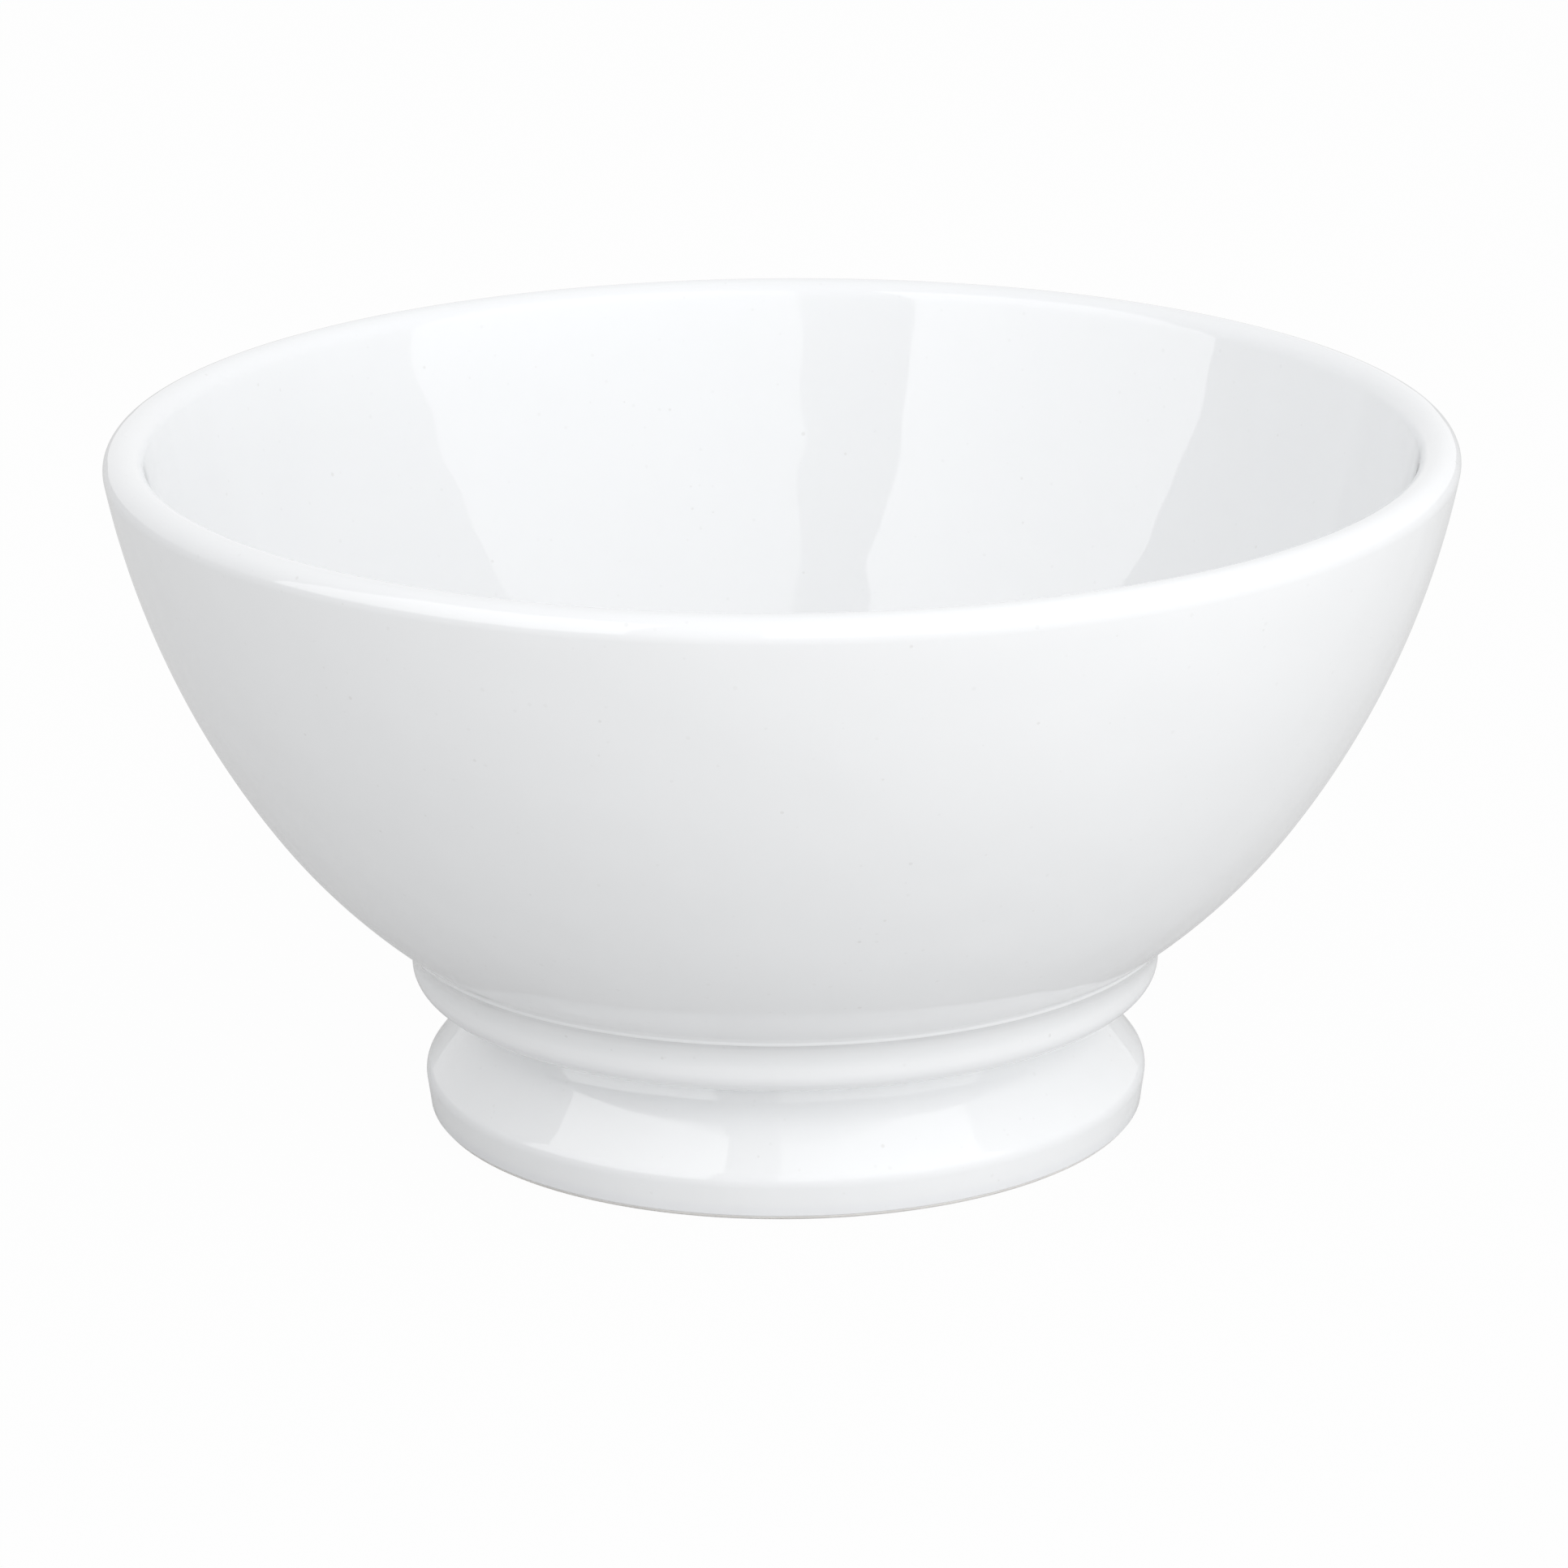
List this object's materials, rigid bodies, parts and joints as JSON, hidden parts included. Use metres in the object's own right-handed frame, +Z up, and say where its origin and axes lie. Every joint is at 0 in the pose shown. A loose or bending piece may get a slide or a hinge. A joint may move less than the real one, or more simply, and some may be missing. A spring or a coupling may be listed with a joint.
{
  "type": "latte bowl",
  "caption": "Wide round porcelain bowl without a handle, on a hollow pedestal foot with an undercut groove, for coffee with milk, soup or cereal.",
  "frame": {"origin": "centre of the standing ring, on the plane that the bowl stands on", "axes": "+Z up along the bowl's axis, towards its mouth; +X to the right in the picture; +Y away from the viewer"},
  "size_m": [0.15, 0.15, 0.078],
  "materials": {
    "porcelain": "fired porcelain clay, under the glaze",
    "bare_ring": "fired porcelain clay, wiped bare and smooth on the standing ring",
    "slip": "fired porcelain slip, under the glaze",
    "white_glaze": "glossy white glaze",
    "recess_glaze": "glossy white glaze"
  },
  "bodies": {
    "root": {"bowl_body": "porcelain", "pedestal_foot": "bare_ring", "luting_slip": "slip", "glaze_coat": "white_glaze", "recess_glaze": "recess_glaze"}
  },
  "joints": []
}
